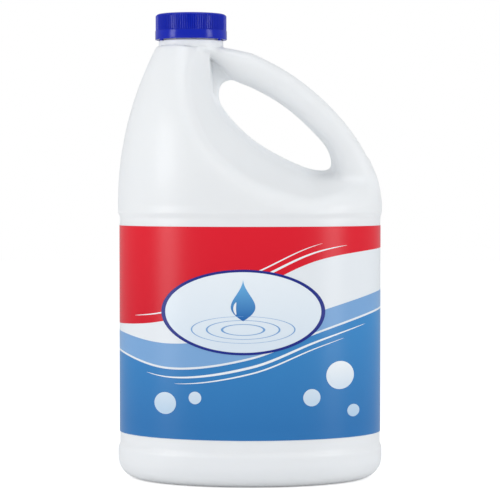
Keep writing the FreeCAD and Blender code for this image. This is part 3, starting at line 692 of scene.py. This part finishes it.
film = skin("film", round_panel(level_line(FILM_LOW)), round_panel(level_line(FILM_HIGH)),
            FILM_INNER, FILM_OUTER, True, 24)
film_white = film_finish("coated_polypropylene_film", srgb("#e9edf1"))
give_ink(film, film_white, "film", "label")

# The print's fields: blue under a soft wave, red over another, and a sky-blue band between them.
# They are flat inks, printed on the film before it is cut and wound on, and go right round it.
BLUE_TOP = [(-1.1, 0.42), (-0.6, 0.33), (0.0, 0.38), (0.5, 0.5), (1.1, 0.62)]
RED_LOW = [(-1.1, 0.52), (-0.6, 0.56), (0.0, 0.7), (0.5, 0.84), (1.1, 0.9)]
SKY_LOW = [(-1.1, 0.43), (-0.6, 0.34), (0.0, 0.39), (0.5, 0.51), (1.1, 0.63)]
SKY_HIGH = [(-1.1, 0.51), (-0.6, 0.45), (0.0, 0.5), (0.5, 0.6), (1.1, 0.71)]
low_edge, high_edge = level_line(FILM_LOW + PRINT_MARGIN), level_line(FILM_HIGH - PRINT_MARGIN)
FIELD_LAYER, LINE_LAYER, OVAL_LAYER, RIM_LAYER, SHINE_LAYER = range(5)


def ink_layer(layer):
    """How far off the panel an ink's inner and outer side lie; later inks lie over earlier ones."""
    return INK_INNER + layer * INK_LAYER, INK_INNER + layer * INK_LAYER + INK_THICKNESS


blue_ink = film_finish("printed_blue_ink", srgb("#2a74b4"), srgb("#3c8ac8"), low=40.0, high=110.0)
red_ink = film_finish("printed_red_ink", srgb("#d40a26"), srgb("#e2162b"), low=100.0, high=165.0)
sky_ink = film_finish("printed_sky_ink", srgb("#7ca8d7"))
blue_field = skin("blue_field", round_panel(low_edge), round_panel(soft_line(BLUE_TOP)),
                  *ink_layer(FIELD_LAYER), True, 12)
give_ink(blue_field, blue_ink, "ink_blue", "print_blue_field")
red_field = skin("red_field", round_panel(soft_line(RED_LOW)), round_panel(high_edge),
                 *ink_layer(FIELD_LAYER), True, 12)
give_ink(red_field, red_ink, "ink_red", "print_red_field")
sky_wave = skin("sky_wave", round_panel(soft_line(SKY_LOW)), round_panel(soft_line(SKY_HIGH)),
                *ink_layer(FIELD_LAYER), True, 4)
give_ink(sky_wave, sky_ink, "ink_sky", "print_sky_wave")

# The oval in front, with its navy rim, a falling drop and the rings that it makes in the water.
# It is printed over the fields, in a pale ink that grows lighter upwards, with the rest over it.
OVAL_ACROSS, OVAL_UP, OVAL_REACH, OVAL_SQUASH = -0.05 * BODY_WIDTH / 2, film_height(0.6), 52.0, 0.52
RIM_REACH, RIM_SQUASH = 49.5, 0.515


def halves(x, z, reach, squash, columns=96, end=0.01):
    """An oval as its lower and its upper line; the ends are just open."""
    turn = np.linspace(end, math.pi - end, columns)
    across = x - reach * np.cos(turn)
    rise = reach * squash * np.sin(turn)
    return in_front(across, z - rise), in_front(across, z + rise)


def oval_loop(x, z, reach, squash, columns=144):
    turn = np.linspace(0, 2 * math.pi, columns, endpoint=False)
    return in_front(x + reach * np.cos(turn), z + reach * squash * np.sin(turn))


pale_ink = film_finish("printed_pale_ink", srgb("#dbe7f2"), srgb("#eef4f9"), low=85.0, high=140.0)
navy_ink = film_finish("printed_navy_ink", srgb("#1c2a86"))
white_ink = film_finish("printed_white_ink", srgb("#eff2f5"))
pale_oval = skin("pale_oval", *halves(OVAL_ACROSS, OVAL_UP, OVAL_REACH, OVAL_SQUASH),
                 *ink_layer(OVAL_LAYER), False, 8)
give_ink(pale_oval, pale_ink, "ink_pale", "print_pale_oval")
navy_rim = skin("navy_rim", oval_loop(OVAL_ACROSS, OVAL_UP, RIM_REACH, RIM_SQUASH),
                oval_loop(OVAL_ACROSS, OVAL_UP, OVAL_REACH, OVAL_SQUASH),
                *ink_layer(RIM_LAYER), True, 1)
give_ink(navy_rim, navy_ink, "ink_navy", "print_navy_rim")
RINGS = [(33.0, 0.8), (23.5, 1.1), (14.0, 1.5)]
RING_UP, RING_SQUASH = OVAL_UP - 11.0, 0.26
RING_THINNING = 0.9                         # a ring's line is this much thinner up than across
for number, (reach, width) in enumerate(RINGS):
    inner_squash = RING_SQUASH * (reach - width * RING_THINNING) / (reach - width)
    ring = skin("water_ring_%d" % (number + 1),
                oval_loop(OVAL_ACROSS, RING_UP, reach - width, inner_squash),
                oval_loop(OVAL_ACROSS, RING_UP, reach, RING_SQUASH), *ink_layer(RIM_LAYER), True, 1)
    give_ink(ring, sky_ink, "ink_sky")
DROP_TIP, DROP_FOOT, DROP_WIDTH, DROP_END = OVAL_UP + 21.0, OVAL_UP - 5.5, 8.6, 0.004
DROP_BELLY, DROP_POINT = 1.55, 0.25         # how low the drop is widest, and how blunt its tip is
share = np.linspace(DROP_END, 1 - DROP_END, 60)
drop_half = DROP_WIDTH * np.sin(math.pi * share**DROP_BELLY) * share**DROP_POINT
drop_up = DROP_TIP + (DROP_FOOT - DROP_TIP) * share
water_drop = skin("water_drop", in_front(OVAL_ACROSS - drop_half, drop_up),
                  in_front(OVAL_ACROSS + drop_half, drop_up), *ink_layer(RIM_LAYER), False, 6)
drop_ink = film_finish("printed_drop_ink", srgb("#1f63ad"), srgb("#6db4e4"), DROP_FOOT, DROP_TIP)
give_ink(water_drop, drop_ink, "ink_blue")
SHINE_LOW, SHINE_HIGH, SHINE_OFF, SHINE_BOW, SHINE_WIDTH = 4.0, 12.0, 3.9, 1.4, 1.7


def white_line(name, x, z, width, layer):
    """A thin line of white print along a soft curve, widest at its middle."""
    taper, end_half = 0.6, 0.03
    share = np.linspace(0, 1, len(x))
    half = width / 2 * np.sin(math.pi * share) ** taper + end_half
    along_x, along_z = np.gradient(x), np.gradient(z)
    long = np.hypot(along_x, along_z)
    low_side = in_front(x + along_z / long * half, z - along_x / long * half)
    high_side = in_front(x - along_z / long * half, z + along_x / long * half)
    give_ink(skin(name, low_side, high_side, *ink_layer(layer), False, 2), white_ink, "ink_white")


shine_up = np.linspace(DROP_FOOT + SHINE_LOW, DROP_FOOT + SHINE_HIGH, 20)
shine_x = OVAL_ACROSS - SHINE_OFF - SHINE_BOW * np.sin(math.pi * np.linspace(0.1, 0.9, 20))
white_line("drop_shine", shine_x, shine_up, SHINE_WIDTH, SHINE_LAYER)

# Thin white lines that follow the waves, and bubbles in the blue field: the same white ink, and
# for the bubbles a pale one that grows lighter upwards, as light on froth does.
WAVE_LINES = [
    ("blue_line_1", BLUE_TOP, -5.0, -66.0, 74.0, 1.5),
    ("blue_line_2", BLUE_TOP, -9.0, -48.0, 60.0, 0.9),
    ("red_line_1", RED_LOW, 5.5, -74.0, 62.0, 1.5),
    ("red_line_2", RED_LOW, 10.0, -56.0, 46.0, 0.9),
]
for name, places, lift, start, end, width in WAVE_LINES:
    x = np.linspace(start, end, 90)
    white_line(name, x, soft_line(places, lift)(x), width, LINE_LAYER)
BUBBLES = [(-0.62, 0.17, 7.0), (-0.4, 0.2, 4.0), (0.66, 0.3, 9.0), (0.45, 0.2, 5.5), (0.76, 0.13, 4.0)]
bubble_ink = film_finish("printed_bubble_ink", srgb("#b9d3ea"), srgb("#f1f5f8"), low=45.0, high=80.0)
for number, (across, up, radius) in enumerate(BUBBLES):
    bubble = skin("bubble_%d" % (number + 1),
                  *halves(across * BODY_WIDTH / 2, film_height(up), radius, 1.0, 48),
                  *ink_layer(OVAL_LAYER), False, 4)
    give_ink(bubble, bubble_ink, "ink_white", "print_white_drops")

# The foam liner: a soft white disc punched from polyethylene foam, pressed into the cap's top,
# where it seals on the neck's mouth. Foam gives it fine closed pores and no shine.
LINER_RADIUS, LINER_EDGE, LINER_THICKNESS = 20.9, 0.25, 1.0
liner = mesh_piece("liner", *turned([
    (0, MOUTH), (LINER_RADIUS - LINER_EDGE, MOUTH), (LINER_RADIUS, MOUTH + LINER_EDGE),
    (LINER_RADIUS, MOUTH + LINER_THICKNESS - LINER_EDGE),
    (LINER_RADIUS - LINER_EDGE, MOUTH + LINER_THICKNESS), (0, MOUTH + LINER_THICKNESS)], 96))
PORE_SIZE, PORE_DEPTH = 0.6, 0.05
foam, tree, shader = material(
    "punched_polyethylene_foam", Base_Color=srgb("#e9e9e6"), Roughness=0.85, IOR=1.5)
grain(tree, shader, PORE_SIZE, PORE_DEPTH)
liner.data.materials.append(foam)
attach(liner, "liner_disc")
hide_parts("cap_liner")

# The screw cap: injection-moulded blue polypropylene, with 96 fine ribs over a smooth band, a
# right-hand thread inside, and two small lugs under its rim that click past the collar.
CAP_LOW, CAP_HEIGHT, CAP_TOP_THICKNESS, CAP_EDGE = 288.2, 16.8, 1.5, 1.2
CAP_BORE, CAP_SKIRT, CAP_BAND, CAP_BAND_HEIGHT = 21.2, 22.8, 23.6, 6.0
RIB_HEIGHT, RIB_COUNT, COLUMNS_PER_RIB, THREAD_CLEARANCE = 0.5, 96, 10, 0.4
LUG_TURN, LUG_WIDTH, LUG_HEIGHT, LUG_SUNK, LUG_DRAFT = 58.0, 2.4, 0.9, 0.4, 0.25


def rib_height(angles):
    """The ribs' height round the cap: flat valleys and rounded crests."""
    valley, flank = 0.2, 0.3
    share = (angles * RIB_COUNT / (2 * math.pi)) % 1.0
    return RIB_HEIGHT * soft_step((share - valley) / flank) * soft_step((1.0 - share) / flank)


rim, top = CAP_LOW, CAP_LOW + CAP_HEIGHT
band_top, under_top = CAP_LOW + CAP_BAND_HEIGHT, CAP_LOW + CAP_HEIGHT - CAP_TOP_THICKNESS
# from the underside of the top, down the bore, round the rim, up over band and ribs, to a top face
# that is sunk in a little; small offsets round its edges
cap_profile = [
    (0, under_top), (CAP_BORE - 0.5, under_top), (CAP_BORE, under_top - 0.5), (CAP_BORE, rim + 0.3),
    (CAP_BORE + 0.3, rim), (CAP_BAND - 0.35, rim), (CAP_BAND - 0.1, rim + 0.1), (CAP_BAND, rim + 0.35),
    (CAP_BAND, band_top - 0.45), (CAP_BAND - 0.12, band_top - 0.12), (CAP_BAND - 0.4, band_top),
    (CAP_SKIRT + 0.1, band_top + 0.05, 0.6), (CAP_SKIRT, band_top + 0.3, 1.0),
    (CAP_SKIRT, top - CAP_EDGE - 0.2, 1.0), (CAP_SKIRT - 0.1, top - CAP_EDGE + 0.15, 0.8),
    (CAP_SKIRT - 0.45, top - 0.45, 0.25), (CAP_SKIRT - 0.8, top - 0.14), (CAP_SKIRT - 1.3, top),
    (CAP_SKIRT - 3.4, top), (CAP_SKIRT - 3.9, top - 0.22), (0, top - 0.22),
]
cap = mesh_piece("ribbed_cap", *turned(cap_profile, RIB_COUNT * COLUMNS_PER_RIB, rib_height))
cap_thread = mesh_piece("cap_thread", *thread_ridge(
    CAP_BORE, FINISH_RADIUS + THREAD_CLEARANCE, CAP_BORE + THREAD_SUNK,
    THREAD_LOW - THREAD_LEAD / 2, THREAD_LEAD, THREAD_TURNS, THREAD_ROOT_WIDTH, THREAD_CREST_WIDTH))
LUG_IN, LUG_OUT = CAP_BORE + 0.3, CAP_BAND - 0.5
LUG_FACES = [[3, 2, 1, 0], [4, 5, 6, 7], [0, 1, 5, 4], [1, 2, 6, 5], [2, 3, 7, 6], [3, 0, 4, 7]]
lugs = []
for side in (-1, 1):
    turn = math.radians(-90 + side * LUG_TURN)
    out = np.array([math.cos(turn), math.sin(turn)])
    across = np.array([-math.sin(turn), math.cos(turn)])
    corners = []
    for height, draft in ((rim - LUG_HEIGHT, LUG_DRAFT), (rim + LUG_SUNK, 0.0)):
        outer = LUG_OUT - draft
        for reach, width in ((LUG_IN, -1), (outer, -1), (outer, 1), (LUG_IN, 1)):
            place = out * reach + across * width * (LUG_WIDTH / 2 - draft)
            corners.append((NECK_X + place[0], place[1], height))
    lugs.append(mesh_piece("lug", corners, LUG_FACES))
join_and_cut(cap, crease=30.0, UNION=[cap_thread] + lugs)
# moulded polypropylene: strong even colour, and a smooth skin with a fine grain that only the shine
# shows
CAP_GRAIN_SIZE, CAP_GRAIN_HEIGHT = 0.9, 0.01    # real grain is about 0.3 mm: coarser, so it shows
polypropylene, tree, shader = material(
    "moulded_polypropylene", Base_Color=srgb("#001eac"), Roughness=0.19, IOR=1.49,
    Specular_IOR_Level=0.3)
grain(tree, shader, CAP_GRAIN_SIZE, CAP_GRAIN_HEIGHT)
cap.data.materials.clear()
cap.data.materials.append(polypropylene)
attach(cap, "screw_cap")
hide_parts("cap")

# The camera: a little above the middle of the jug, looking slightly down at its front from 1.4 m.
EYE, TARGET, HALF_VIEW = Vector((0.0, -1.42, 0.193)), Vector((0.0, 0.0, 0.150)), 0.165
camera = bpy.data.objects.new("camera", bpy.data.cameras.new("camera"))
bpy.context.scene.collection.objects.link(camera)
camera.location = EYE
camera.rotation_euler = (TARGET - EYE).to_track_quat("-Z", "Y").to_euler()
camera.data.sensor_width = 36.0
camera.data.lens = camera.data.sensor_width / 2 * -EYE.y / HALF_VIEW
bpy.context.scene.camera = camera
bpy.context.scene.view_settings.view_transform = "Standard"

# The studio: a white tent of light, two soft boxes at the sides and one over the jug. The camera
# sees the tent as plain white, and the jug is lit by it more weakly and a little cooler.
TENT_LIGHT, TENT_TINT, LIT_POINT = 0.565, (0.95, 0.978, 1.0, 1.0), Vector((0, 0, 0.16))
SOFT_BOXES = [("left_box", (-1.15, -0.65, 0.35), 0.4, 1.0, 7.0),
              ("right_box", (1.15, -0.62, 0.3), 0.35, 1.0, 6.4),
              ("top_box", (0.0, -0.2, 1.2), 0.9, 0.6, 2.4)]
for name, place, width, height, watts in SOFT_BOXES:
    light = bpy.data.lights.new(name, "AREA")
    light.shape = "RECTANGLE"
    light.size, light.size_y, light.energy = width, height, watts
    box = bpy.data.objects.new(name, light)
    box.location = place
    box.rotation_euler = (LIT_POINT - Vector(place)).to_track_quat("-Z", "Y").to_euler()
    bpy.context.scene.collection.objects.link(box)
world = bpy.data.worlds.new("tent")
bpy.context.scene.world = world
world.use_nodes = True
tree = world.node_tree
background = tree.nodes["Background"]
path = add_node(tree, "ShaderNodeLightPath")
seen = add_node(tree, "ShaderNodeMath", {"operation": "MAXIMUM"},
                {0: (path, "Is Camera Ray"), 1: (path, "Is Transmission Ray")})
strength = add_node(tree, "ShaderNodeMapRange", {"To Min": TENT_LIGHT, "To Max": 1.0},
                    {"Value": (seen, "Value")})
tree.links.new(strength.outputs["Result"], background.inputs["Strength"])
tint = add_node(tree, "ShaderNodeMix", {"data_type": "RGBA", 6: TENT_TINT, 7: (1, 1, 1, 1)},
                {0: (seen, "Value")})
tree.links.new(tint.outputs[2], background.inputs["Color"])

# The floor: a sheet of matt white paper under the jug, without a visible edge. The camera sees it
# as white but for the jug's soft shadow.
FLOOR_SIZE, FLOOR_GLOW = 4000.0, 0.55
floor_corners = [(-FLOOR_SIZE, -FLOOR_SIZE, 0), (FLOOR_SIZE, -FLOOR_SIZE, 0),
                 (FLOOR_SIZE, FLOOR_SIZE, 0), (-FLOOR_SIZE, FLOOR_SIZE, 0)]
floor = mesh_piece("floor", floor_corners, [(0, 1, 2, 3)])
paper, tree, shader = material(
    "matt_white_paper", Base_Color=srgb("#f2f2f2"), Roughness=0.9, Specular_IOR_Level=0.0)
path = add_node(tree, "ShaderNodeLightPath")
glow = add_node(tree, "ShaderNodeMath", {"operation": "MULTIPLY", 1: FLOOR_GLOW},
                {0: (path, "Is Camera Ray")})
light = add_node(tree, "ShaderNodeEmission", None, {"Strength": (glow, "Value")})
both = add_node(tree, "ShaderNodeAddShader", None, {0: (shader, "BSDF"), 1: (light, "Emission")})
tree.links.new(both.outputs["Shader"], tree.nodes["Material Output"].inputs["Surface"])
floor.data.materials.append(paper)
